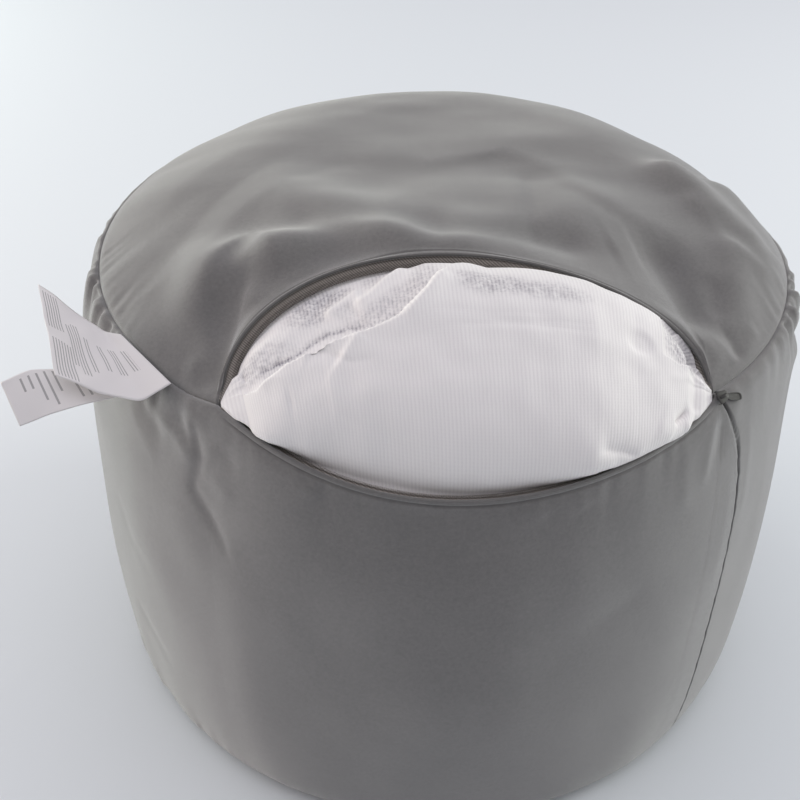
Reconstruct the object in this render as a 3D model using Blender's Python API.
"""Bean bag footstool with its zip open, modelled in metres with +Z up.

A round drum cover of woven polyester (top panel, side panel, base panel) holds one
bead-filled inner bag.  The zip lies in the front of the rim seam.  It is open, the top
panel's lip stands back, and the inner bag swells out between the two lips.  Two care
labels are sewn into the rim seam on the left.

The origin is the centre of the base, on the surface that the stool stands on.  The zip
faces -Y.  Angles run from -Y towards +X.  All panels and the bag share one set of
columns, so that each layer is the layer above it, set back by a fixed depth.
"""
import math

import bmesh
import bpy
import numpy as np
from mathutils import Matrix, Quaternion, Vector

# Driving dimensions of the closed drum.
RIM_RADIUS = 0.245
RIM_HEIGHT = 0.345
BASE_RADIUS = 0.2425
BASE_SEAM_HEIGHT = 0.007
BASE_FLAT_RADIUS = 0.224
SIDE_BULGE = 0.0184
BULGE_POWER = 0.45
CROWN_RISE = 0.038
CROWN_POWER = 0.8

# Cloth thicknesses and the clearance between neighbouring layers.
PANEL_THICKNESS = 0.002
TAPE_THICKNESS = 0.001
LABEL_THICKNESS = 0.001
LAYER_GAP = 0.0004
HALF_SEAM_GAP = 0.0002

# The zip's mouth in the rim seam: its ends as angles from -Y, and how its lips stand.
MOUTH_LEFT = math.radians(-32.7)
MOUTH_RIGHT = math.radians(43.6)
LOWER_LIP_DROP = 0.026
LOWER_LIP_SWELL = 0.005
LIP_POWER_LEFT = 1.1
LIP_POWER_RIGHT = 0.62
LOWER_LIP_SKEW = 0.10
UPPER_LIP_REACH = 0.0985
UPPER_LIP_PITCH = math.radians(33.0)
UPPER_LIP_SKEW = 0.10
TAPE_WIDTH = 0.0095
TAPE_SHARE_OF_MOUTH = 0.34
TIP_CLEARANCE = 0.0010
TAPE_END_COLUMNS = 2
LOWER_TAPE_DIP = math.radians(44.0)
UPPER_TAPE_DIP = math.radians(50.0)
LEAST_FACING = 0.6  # the flattest that a tape may lie to its panel, as a cosine
LIP_SAMPLES = 400

# How far the inner bag swells out of the mouth, and where its filled part ends.
DOME_HEIGHT = 0.044
DOME_SQUARENESS = 3.2
DOME_SHOULDER = 0.75
DOME_ENDS = 0.55
DOME_END_SHARE = 0.02
DOME_FULLNESS = 1.25
FLAP_LINE = {  # share of the mouth's width, for each share of its length
    0.0: 0.50, 0.1: 0.52, 0.2: 0.58, 0.3: 0.62, 0.4: 0.68, 0.5: 0.80, 1.0: 1.0,
}
FLAP_DROP = {  # share of the dome's height lost behind the flap's edge, along the mouth
    0.0: 0.55, 0.3: 0.55, 0.45: 0.40, 0.56: 0.0, 1.0: 0.0,
}
FLAP_SOFTNESS = 0.14

# Columns round the drum and rows along each surface.
MOUTH_COLUMNS = 24
OUTER_COLUMNS = 52
SIDE_ROWS = (0.0, 0.025, 0.07, 0.15, 0.26, 0.39, 0.53, 0.67, 0.80, 0.90, 0.965, 1.0)
TOP_ROWS = (1.0, 0.96, 0.88, 0.75, 0.55, 0.3, 0.0)
RING_ROWS = (0.72, 0.4)
DOME_ROWS = (0.0, 0.05, 0.13, 0.25, 0.38, 0.50, 0.60, 0.70, 0.80, 0.89, 0.96, 1.0)
BASE_MIDDLE_SHARE = 0.5
MERGE_DISTANCE = 1e-5
SMOOTHING_ANGLE = math.radians(40.0)

# The ring inside the top panel that its outer rows run to, and the ridge along it.
RING_CENTRE = np.array([0.005, 0.035])
RING_RADIUS = 0.12
RING_TURN_LEFT = math.radians(-74.0)
RING_TURN_RIGHT = math.radians(72.0)
RIDGE_HEIGHT = 0.028
RIDGE_ANGLE = math.radians(-14.0)
RIDGE_SPREAD = math.radians(48.0)
RIDGE_WIDTH = 0.038

# Where the rim seam sags or lifts: angle, height and half width in degrees.
RIM_WAVES = {
    "sag_by_label": (-40.0, -0.005, 7.0),
    "sag_back_right": (122.0, -0.008, 32.0),
    "lift_back_left": (-140.0, 0.003, 30.0),
    "lift_right": (80.0, 0.003, 18.0),
}

# Folds pressed into the top panel: from, to (plan x, y), height and half width.
TOP_FOLDS = {
    "left_valley": ((-0.155, -0.100), (-0.139, -0.190), -0.007, 0.011),
    "left_ridge": ((-0.174, -0.070), (-0.161, -0.158), 0.004, 0.013),
    "left_facet": ((-0.150, -0.100), (-0.105, -0.118), -0.004, 0.013),
    "right_ridge": ((0.168, 0.045), (0.226, -0.058), 0.007, 0.015),
    "right_hollow": ((0.174, -0.076), (0.181, -0.122), -0.010, 0.014),
    "right_lip_ridge": ((0.192, -0.100), (0.194, -0.148), 0.004, 0.009),
    "back_fold": ((-0.040, 0.060), (0.120, 0.110), 0.003, 0.030),
}
TOP_FOLD_FADE = 0.2  # share of the way in from the edge over which the folds come up

# Soft vertical folds of the side panel: angle, top and bottom height, depth, half width.
SIDE_FOLDS = {
    "left_crease": (-34.0, 0.32, 0.23, -0.004, 4.0),
    "left_swell": (-46.0, 0.30, 0.16, 0.003, 7.0),
    "left_roll": (-98.0, 0.340, 0.26, 0.009, 24.0),
    "slider_fold": (36.0, 0.31, 0.22, -0.003, 4.0),
    "front_swell": (4.0, 0.28, 0.10, 0.003, 16.0),
    "back_crease": (160.0, 0.31, 0.20, -0.004, 6.0),
}
SIDE_FOLD_FADE = 0.25  # share of the way down from the rim over which the folds come up
SIDE_SEAM_ANGLE = 49.4
SIDE_SEAM_DEPTH = 0.0015
SIDE_SEAM_WIDTH = 2.5

# Slider and pull: length along the zip, width, thickness, and their places on the rim.
SLIDER_SIZE = (0.0095, 0.0072, 0.0042)
SLIDER_CORNER = 0.0012
SLIDER_LIFT = 0.0012
SLIDER_LEAN = math.radians(45.0)
SLIDER_ANGLE = math.radians(44.9)
SLIDER_DROP = 0.003
SLIDER_OUT = 0.002
PULL_TURN = math.radians(-21.0)
PULL_SIZE = (0.0120, 0.0052, 0.0014)
PULL_CORNER = 0.0005
PULL_LIFT = 0.0022
PULL_CLEARANCE = 0.0006

# Labels: each long edge's angle on the rim seam, then three points along it to its free end.
CARE_LABEL_EDGES = (
    (-55.2, (-0.2238, -0.1308, 0.3470), (-0.2433, -0.1169, 0.3543), (-0.2648, -0.1041, 0.3600)),
    (-41.3, (-0.1856, -0.1937, 0.3365), (-0.2108, -0.1917, 0.3390), (-0.2343, -0.1858, 0.3464)),
)
SIZE_LABEL_EDGES = (
    (-53.0, (-0.2124, -0.1645, 0.3365), (-0.2424, -0.1708, 0.3400), (-0.2710, -0.1812, 0.3356)),
    (-46.0, (-0.1941, -0.1827, 0.3305), (-0.2255, -0.1933, 0.3258), (-0.2561, -0.2016, 0.3177)),
)
EDGE_SHARES = (0.0, 1 / 3, 2 / 3, 1.0)
CARE_LABEL_RISE = 0.0030
SIZE_LABEL_RISE = 0.0015
LABEL_ROWS = 8
LABEL_COLUMNS = 4


def unit(vectors):
    """Return the vectors scaled to length 1."""
    return vectors / np.maximum(np.linalg.norm(vectors, axis=-1, keepdims=True), 1e-12)


def polar(radius, angle, height):
    """Return points at a radius and angle about the drum's axis, at a height."""
    return np.stack(np.broadcast_arrays(radius * np.sin(angle), -radius * np.cos(angle), height), -1)


def column_angles():
    """Return every column's angle: the mouth's columns first, then the rest of the turn."""
    mouth = np.linspace(MOUTH_LEFT, MOUTH_RIGHT, MOUTH_COLUMNS + 1)
    rest = np.linspace(MOUTH_RIGHT, MOUTH_LEFT + 2 * math.pi, OUTER_COLUMNS + 1)
    return np.concatenate([mouth, rest[1:-1]])


ANGLES = column_angles()
MOUTH = np.arange(MOUTH_COLUMNS + 1)
ALONG = np.linspace(0.0, 1.0, MOUTH_COLUMNS + 1)


# ---------------------------------------------------------------- the cover's surfaces

def side_radius(share):
    """Return the side panel's radius at a share of the way from the rim to the base."""
    bulge = SIDE_BULGE * np.clip(4 * share * (1 - share), 0, 1) ** BULGE_POWER
    return RIM_RADIUS + (BASE_RADIUS - RIM_RADIUS) * share + bulge


def side_relief(angle, height):
    """Return how far folds move the side panel in or out at an angle and height."""
    degrees = np.degrees(angle)
    total = np.zeros(np.broadcast(degrees, height).shape)
    for centre, top, bottom, depth, spread in SIDE_FOLDS.values():
        turn = (degrees - centre + 180) % 360 - 180
        middle, half = (top + bottom) / 2, (top - bottom) / 2
        total += depth * np.exp(-(turn / spread) ** 2 - ((height - middle) / half) ** 4)
    turn = (degrees - SIDE_SEAM_ANGLE + 180) % 360 - 180
    return total - SIDE_SEAM_DEPTH * np.exp(-(turn / SIDE_SEAM_WIDTH) ** 2)


def side_surface():
    """Return the side panel's outer points, row by row from its top edge to the base seam."""
    drop = np.zeros(len(ANGLES))
    skew = 1 + LOWER_LIP_SKEW * np.cos(math.pi * ALONG)
    power = LIP_POWER_LEFT + (LIP_POWER_RIGHT - LIP_POWER_LEFT) * ALONG
    drop[MOUTH] = LOWER_LIP_DROP * skew * np.sin(math.pi * ALONG) ** power
    swell = np.zeros(len(ANGLES))
    swell[MOUTH] = LOWER_LIP_SWELL * np.sin(math.pi * ALONG)
    rim = rim_height()
    depth = rim - BASE_SEAM_HEIGHT
    start = drop / depth
    rows = np.array(SIDE_ROWS)[:, None]
    share = start + (1 - start) * rows
    height = rim - depth * share
    radius = side_radius(share) + swell * (1 - rows) ** 2
    relief = side_relief(ANGLES, height) * np.clip(share / SIDE_FOLD_FADE, 0, 1)
    return polar(radius + relief * (rows < 1), ANGLES, height)


def rim_height():
    """Return the rim seam's height in every column: level but for a few soft waves."""
    height = np.full(len(ANGLES), RIM_HEIGHT)
    for centre, lift, spread in RIM_WAVES.values():
        turn = (np.degrees(ANGLES) - centre + 180) % 360 - 180
        height += lift * np.exp(-(turn / spread) ** 2)
    return height


def upper_lip():
    """Return the top panel's free edge along the mouth: half an ellipse, leaning back."""
    rim = polar(RIM_RADIUS, ANGLES, rim_height())
    left, right = rim[MOUTH[0]], rim[MOUTH[-1]]
    across = right - left
    back = unit(np.cross([0, 0, 1], across))
    lean = back * math.cos(UPPER_LIP_PITCH) + np.array([0, 0, 1]) * math.sin(UPPER_LIP_PITCH)
    fine = np.linspace(0, math.pi, LIP_SAMPLES)
    share = (1 - np.cos(fine)) / 2
    rise = UPPER_LIP_REACH * np.sin(fine) * (1 + UPPER_LIP_SKEW * np.cos(fine))
    curve = left + share[:, None] * across + rise[:, None] * lean
    run = np.concatenate([[0], np.cumsum(np.linalg.norm(np.diff(curve, axis=0), axis=1))])
    return np.stack([np.interp(ALONG * run[-1], run, curve[:, axis]) for axis in range(3)], -1)


def ring_angles():
    """Return where each column meets the ring: the mouth's columns fan out over its front."""
    front = RING_TURN_LEFT + (RING_TURN_RIGHT - RING_TURN_LEFT) * ALONG
    back = np.linspace(RING_TURN_RIGHT, RING_TURN_LEFT + 2 * math.pi, OUTER_COLUMNS + 1)
    return np.concatenate([front, back[1:-1]])


def distance_to_line(points, start, end):
    """Return each plan point's distance to the segment from start to end."""
    start, end = np.array(start), np.array(end)
    along = end - start
    share = np.clip(((points - start) @ along) / (along @ along), 0, 1)
    return np.linalg.norm(points - start - share[..., None] * along, axis=-1)


def inner_height(plan):
    """Return the height that the top panel tends to: a low crown with a ridge and folds."""
    away = plan - RING_CENTRE
    distance = np.linalg.norm(away, axis=-1)
    angle = np.arctan2(away[..., 0], -away[..., 1])
    ridge = RIDGE_HEIGHT * np.exp(-((angle - RIDGE_ANGLE) / RIDGE_SPREAD) ** 2)
    ridge = ridge * np.exp(-((distance - RING_RADIUS) / RIDGE_WIDTH) ** 2)
    return RIM_HEIGHT + CROWN_RISE + ridge


def top_relief(plan):
    """Return how far folds lift or press the top panel."""
    total = np.zeros(plan.shape[:-1])
    for start, end, height, spread in TOP_FOLDS.values():
        total += height * np.exp(-(distance_to_line(plan, start, end) / spread) ** 2)
    return total


def top_surface():
    """Return the top panel's outer points, row by row from its edge in to the centre."""
    edge = polar(RIM_RADIUS, ANGLES, rim_height())
    edge[MOUTH] = upper_lip()
    turn = ring_angles()
    ring = RING_CENTRE + RING_RADIUS * np.stack([np.sin(turn), -np.cos(turn)], -1)
    rows = []
    for out in TOP_ROWS:
        plan = ring + (edge[:, :2] - ring) * out
        fall = max(1 - out * out, 0.0) ** CROWN_POWER
        height = edge[:, 2] + (inner_height(plan) - edge[:, 2]) * fall
        relief = top_relief(plan) * min(1.0, (1 - out) / TOP_FOLD_FADE)
        rows.append(np.column_stack([plan, height + relief]))
    for inward in RING_ROWS + (0.0,):
        plan = RING_CENTRE + (ring - RING_CENTRE) * inward
        rows.append(np.column_stack([plan, inner_height(plan) + top_relief(plan)]))
    return np.array(rows)


def base_surface():
    """Return the base panel's outer points, from the base seam in to the centre."""
    radii = (BASE_RADIUS, BASE_FLAT_RADIUS, BASE_FLAT_RADIUS * BASE_MIDDLE_SHARE, 0.0)
    heights = (BASE_SEAM_HEIGHT, 0.0, 0.0, 0.0)
    return np.array([polar(radius, ANGLES, height) for radius, height in zip(radii, heights)])


def surface_normals(grid, outward_sign):
    """Return a unit normal for each point of a grid whose columns close on themselves."""
    round_step = np.roll(grid, -1, axis=1) - np.roll(grid, 1, axis=1)
    down_step = np.gradient(grid, axis=0)
    return unit(np.cross(round_step, down_step) * outward_sign)


def cover_layers():
    """Return the three panels' outer grids and normals, with shared normals in the seams."""
    top, side, base = top_surface(), side_surface(), base_surface()
    top_normals = surface_normals(top, 1.0)
    top_normals[-1] = unit(top_normals[-2].mean(axis=0))
    side_normals = surface_normals(side, -1.0)
    base_normals = surface_normals(base, -1.0)
    base_normals[1:] = (0, 0, -1)
    closed = np.setdiff1d(np.arange(len(ANGLES)), MOUTH[1:-1])
    rim = unit(top_normals[0] + side_normals[0])
    foot = unit(base_normals[0] + side_normals[-1])
    top_normals[0, closed] = side_normals[0, closed] = rim[closed]
    for normals in (top_normals, side_normals):
        edge = normals[0, MOUTH]
        normals[0, MOUTH[1:-1]] = unit(edge[:-2] + 2 * edge[1:-1] + edge[2:])
    base_normals[0] = side_normals[-1] = foot
    return (top, top_normals), (side, side_normals), (base, base_normals)


# ---------------------------------------------------------------- meshes

def grid_faces(rows, columns, closed_round, first=0, flip=False):
    """Return the triangles of a grid of points numbered row by row.

    Every layer splits its squares along the same diagonal, so stacked layers stay parallel.
    """
    faces = []
    for row in range(rows - 1):
        for column in range(columns if closed_round else columns - 1):
            beside = (column + 1) % columns
            near, far = first + row * columns, first + (row + 1) * columns
            for face in ((near + column, near + beside, far + beside),
                         (near + column, far + beside, far + column)):
                faces.append(face[::-1] if flip else face)
    return faces


def make_object(name, points, faces, material):
    """Make a closed mesh object, with coincident points merged and faces pointing out."""
    mesh = bpy.data.meshes.new(name)
    mesh.from_pydata([tuple(map(float, point)) for point in points], [], faces)
    work = bmesh.new()
    work.from_mesh(mesh)
    bmesh.ops.remove_doubles(work, verts=work.verts, dist=MERGE_DISTANCE)
    bmesh.ops.dissolve_degenerate(work, edges=work.edges, dist=MERGE_DISTANCE / 10)
    bmesh.ops.triangulate(work, faces=work.faces)
    bmesh.ops.recalc_face_normals(work, faces=work.faces)
    finish_mesh(mesh, work, material)
    mesh.shade_smooth()
    mesh.set_sharp_from_angle(angle=SMOOTHING_ANGLE)
    return link_object(name, mesh)


def finish_mesh(mesh, work, material):
    """Write a bmesh into its mesh and give the mesh its material."""
    work.to_mesh(mesh)
    work.free()
    mesh.materials.append(material)


def link_object(name, mesh):
    """Return a new object in the scene that shows the mesh."""
    piece = bpy.data.objects.new(name, mesh)
    bpy.context.scene.collection.objects.link(piece)
    return piece


def make_layer(name, outer, inner, closed_round, material):
    """Make a sheet of cloth between an outer and an inner grid, closed along its edges."""
    rows, columns = outer.shape[:2]
    points = np.concatenate([outer.reshape(-1, 3), inner.reshape(-1, 3)])
    count = rows * columns
    faces = grid_faces(rows, columns, closed_round)
    faces += grid_faces(rows, columns, closed_round, first=count, flip=True)

    def wall(path):
        """Add the strip that joins a path of outer points to the inner points below."""
        for start, end in zip(path, path[1:]):
            faces.append((end, start, start + count, end + count))

    first_row = list(range(columns))
    last_row = [(rows - 1) * columns + column for column in first_row]
    if closed_round:
        wall(first_row + first_row[:1])
        wall(last_row[::-1] + last_row[-1:])
    else:
        wall(first_row)
        wall(last_row[::-1])
        wall([row * columns for row in reversed(range(rows))])
        wall([(row + 1) * columns - 1 for row in range(rows)])
    return make_object(name, points, faces, material)


def make_material(name, colour, roughness, metallic=0.0):
    """Make a plain material."""
    material = bpy.data.materials.new(name)
    material.use_nodes = True
    shader = material.node_tree.nodes["Principled BSDF"]
    shader.inputs["Base Color"].default_value = (*colour, 1.0)
    shader.inputs["Roughness"].default_value = roughness
    shader.inputs["Metallic"].default_value = metallic
    return material


# ---------------------------------------------------------------- panels and inner bag

def pulled_edge(grid, normals, row, neighbour):
    """Return a grid whose edge row is drawn back from the seam by half the seam's gap."""
    drawn = grid.copy()
    inward = grid[neighbour] - grid[row]
    inward = inward - (inward * normals[row]).sum(-1, keepdims=True) * normals[row]
    drawn[row] = grid[row] + unit(inward) * HALF_SEAM_GAP
    return drawn


def make_panel(name, grid, normals, seam_rows, material):
    """Make one panel, with a small gap to its neighbour in each seam."""
    outer = grid
    for row, neighbour in seam_rows:
        outer = pulled_edge(outer, normals, row, neighbour)
    inner = outer - normals * PANEL_THICKNESS
    return make_layer(name, outer, inner, True, material)


class Lip:
    """One edge of the mouth: its line, its panel's normals, and the tape's ways in and out."""

    def __init__(self, line, normals, toward, out, dip, width):
        """Work out the tape's directions square to the lip, and its width in each column."""
        run = unit(np.gradient(line, axis=0))
        into = toward * math.cos(dip) - out * math.sin(dip)
        self.line = line
        self.normals = normals
        self.into = unit(into - (into * run).sum(-1, keepdims=True) * run)
        face = np.cross(run, self.into)
        self.face = face * np.sign((face * out).sum(-1, keepdims=True))
        self.reach = np.minimum(TAPE_WIDTH, TAPE_SHARE_OF_MOUTH * width)[:, None]
        self.share = self.reach / TAPE_WIDTH

    def tape_root(self):
        """Return the tape's sewn edge, just clear of the panel's inner edge."""
        facing = np.maximum(-(self.into * self.normals).sum(-1, keepdims=True), LEAST_FACING)
        lean = np.maximum(-(self.face * self.normals).sum(-1, keepdims=True), 0.0)
        depth = PANEL_THICKNESS + LAYER_GAP + lean * TAPE_THICKNESS
        return self.line + self.into * depth / facing

    def tape_tip(self):
        """Return the tape's free edge."""
        return self.line + self.into * self.reach

    def bag_under_edge(self):
        """Return the bag's points under the lip, clear of both the panel and the tape."""
        panel_depth = PANEL_THICKNESS + LAYER_GAP
        tape_depth = TAPE_THICKNESS + LAYER_GAP
        lean = (self.normals * self.face).sum(-1, keepdims=True)
        spread = 1 - lean * lean
        by_panel = (lean * tape_depth - panel_depth) / spread
        by_tape = (lean * panel_depth - tape_depth) / spread
        clear_of_both = self.normals * by_panel + self.face * by_tape
        clear_of_panel = self.normals * -panel_depth
        return self.line + clear_of_both * self.share + clear_of_panel * (1 - self.share)

    def bag_round_tip(self):
        """Return the bag's points just under and just past the tape's free edge."""
        below = self.face * (TAPE_THICKNESS + LAYER_GAP) * self.share
        under = self.tape_tip() + self.into * TIP_CLEARANCE * self.share - below
        past = self.tape_tip() + self.into * 2 * TIP_CLEARANCE * self.share
        return under, past


class Mouth:
    """The opening between the two lips."""

    def __init__(self, top, top_normals, side, side_normals):
        """Work out the ways across and out of the mouth, and both lips."""
        lower, upper = side[0, MOUTH], top[0, MOUTH]
        across = upper - lower
        width = np.linalg.norm(across, axis=1)
        across[[0, -1]] = across[[1, -2]]
        across = unit(across)
        self.out = unit(np.cross(unit(upper[-1] - upper[0]), across))
        self.size = np.minimum(width / width.max() * DOME_FULLNESS, 1.0)
        self.lower = Lip(lower, side_normals[0, MOUTH], across, self.out, LOWER_TAPE_DIP, width)
        self.upper = Lip(upper, top_normals[0, MOUTH], -across, self.out, UPPER_TAPE_DIP, width)

    def bag_surface(self):
        """Return the bag's rows in the mouth: under one lip, over the dome, under the other."""
        under_lower, first = self.lower.bag_round_tip()
        under_upper, last = self.upper.bag_round_tip()
        inner_share = DOME_END_SHARE + (1 - 2 * DOME_END_SHARE) * ALONG
        swell = np.sin(math.pi * inner_share) ** DOME_ENDS
        edge = np.interp(ALONG, list(FLAP_LINE), list(FLAP_LINE.values()))
        loss = np.interp(ALONG, list(FLAP_DROP), list(FLAP_DROP.values()))
        rows = [self.lower.bag_under_edge(), under_lower]
        for share in DOME_ROWS:
            dome = (1 - abs(2 * share - 1) ** DOME_SQUARENESS) ** DOME_SHOULDER
            step = np.clip((share - edge) / FLAP_SOFTNESS, 0, 1)
            lift = DOME_HEIGHT * dome * swell * (1 - loss * step) * self.size
            rows.append(first + (last - first) * share + self.out * lift[:, None])
        rows += [under_upper, self.upper.bag_under_edge()]
        return np.array(rows)


def make_tape(name, lip, tip_first, material):
    """Make one zip tape: a strip from a panel's lip to its free edge, split as the bag is."""
    inside = slice(TAPE_END_COLUMNS, -TAPE_END_COLUMNS)
    edges = [lip.tape_root(), lip.tape_tip()]
    if tip_first:
        edges.reverse()
    outer = np.stack(edges)[:, inside]
    inner = outer - lip.face[inside] * TAPE_THICKNESS
    return make_layer(name, outer, inner, False, material)


def make_inner_bag(top, top_normals, side, side_normals, base, base_normals, material):
    """Make the filled inner bag: one solid under all three panels, swelling from the mouth."""
    depth = PANEL_THICKNESS + LAYER_GAP
    shells = [grid - normals * depth for grid, normals in
              ((top, top_normals), (side, side_normals), (base, base_normals))]
    mouth = Mouth(top, top_normals, side, side_normals).bag_surface()
    mouth[:, [0, -1]] = shells[1][0, MOUTH[[0, -1]]]
    shells[1][0, MOUTH], shells[0][0, MOUTH] = mouth[0], mouth[-1]
    points, faces = [], []
    for grid, closed_round, flip in ((shells[0], True, False), (shells[1], True, True),
                                     (shells[2], True, False), (mouth, False, False)):
        faces += grid_faces(*grid.shape[:2], closed_round, first=len(points), flip=flip)
        points.extend(grid.reshape(-1, 3))
    return make_object("inner_bag", points, faces, material)


def label_surface(edges, rise):
    """Return a label's upper points: its two long edges are cubics through four points each.

    The first point of each edge is on the rim seam, at an angle, with the label's rise over it.
    """
    shares = np.linspace(0, 1, LABEL_ROWS)
    outer = slice(MOUTH_COLUMNS + 1, None)
    lines = []
    for angle, *points in edges:
        radians = math.radians(angle)
        height = np.interp(radians, ANGLES[outer] - 2 * math.pi, rim_height()[outer])
        root = polar(RIM_RADIUS + rise, radians, height + rise)
        line = np.polyfit(EDGE_SHARES, np.array([root, *points]), 3)
        lines.append(sum(line[power] * shares[:, None] ** (3 - power) for power in range(4)))
    across = np.linspace(0, 1, LABEL_COLUMNS)[None, :, None]
    return lines[0][:, None] * (1 - across) + lines[1][:, None] * across


def make_label(name, edges, rise, material):
    """Make one label: a thin sheet that leaves the rim seam and stands out from the side."""
    outer = label_surface(edges, rise)
    normal = unit(np.cross(np.gradient(outer, axis=1), np.gradient(outer, axis=0)))
    normal = normal * np.sign(normal[..., 2:])
    return make_layer(name, outer, outer - normal * LABEL_THICKNESS, False, material)


def make_block(name, size, corner, material):
    """Make a rounded block centred on its own origin."""
    mesh = bpy.data.meshes.new(name)
    work = bmesh.new()
    bmesh.ops.create_cube(work, size=1.0)
    bmesh.ops.scale(work, vec=size, verts=work.verts)
    bmesh.ops.bevel(work, geom=work.edges[:], offset=corner, segments=2, affect="EDGES", profile=0.5)
    bmesh.ops.triangulate(work, faces=work.faces)
    finish_mesh(mesh, work, material)
    return link_object(name, mesh)


def place_by_rim(block, turn, ahead, lift):
    """Set a block by the slider's place: X along the zip, turned about the cover's normal."""
    run = Vector((math.cos(SLIDER_ANGLE), math.sin(SLIDER_ANGLE), 0))
    outward = Vector((math.sin(SLIDER_ANGLE), -math.cos(SLIDER_ANGLE), 0))
    square = outward * math.cos(SLIDER_LEAN) + Vector((0, 0, math.sin(SLIDER_LEAN)))
    run.rotate(Quaternion(square, turn))
    centre = outward * (RIM_RADIUS + SLIDER_OUT) + Vector((0, 0, RIM_HEIGHT - SLIDER_DROP))
    place = centre + square * lift + run * ahead
    axes = Matrix((run, square.cross(run), square)).transposed().to_4x4()
    block.matrix_world = Matrix.Translation(place) @ axes


def make_zip_slider(metal):
    """Make the slider on the rim at the mouth's right end, and its pull lying to the right."""
    slider = make_block("zip_slider", SLIDER_SIZE, SLIDER_CORNER, metal)
    place_by_rim(slider, 0.0, 0.0, SLIDER_LIFT + SLIDER_SIZE[2] / 2)
    pull = make_block("zip_pull", PULL_SIZE, PULL_CORNER, metal)
    ahead = (SLIDER_SIZE[0] + PULL_SIZE[0]) / 2 + PULL_CLEARANCE
    place_by_rim(pull, PULL_TURN, ahead, PULL_LIFT + PULL_SIZE[2] / 2)


def clear_scene():
    """Remove every object of the scene that the script starts in."""
    for piece in list(bpy.data.objects):
        bpy.data.objects.remove(piece, do_unlink=True)


def main():
    """Build the footstool."""
    clear_scene()
    cloth = make_material("grey_polyester", (0.30, 0.30, 0.285), 0.85)
    net = make_material("white_knit_net", (0.78, 0.76, 0.76), 0.9)
    nylon = make_material("zip_nylon", (0.13, 0.12, 0.11), 0.6)
    metal = make_material("painted_metal", (0.16, 0.15, 0.14), 0.45, 0.6)
    satin = make_material("label_satin", (0.76, 0.73, 0.73), 0.5)
    (top, top_normals), (side, side_normals), (base, base_normals) = cover_layers()
    make_panel("top_panel", top, top_normals, [(0, 1)], cloth)
    make_panel("side_panel", side, side_normals, [(0, 1), (-1, -2)], cloth)
    make_panel("base_panel", base, base_normals, [(0, 1)], cloth)
    make_inner_bag(top, top_normals, side, side_normals, base, base_normals, net)
    mouth = Mouth(top, top_normals, side, side_normals)
    make_tape("zip_tape_lower", mouth.lower, False, nylon)
    make_tape("zip_tape_upper", mouth.upper, True, nylon)
    make_zip_slider(metal)
    make_label("care_label", CARE_LABEL_EDGES, CARE_LABEL_RISE, satin)
    make_label("size_label", SIZE_LABEL_EDGES, SIZE_LABEL_RISE, satin)


main()
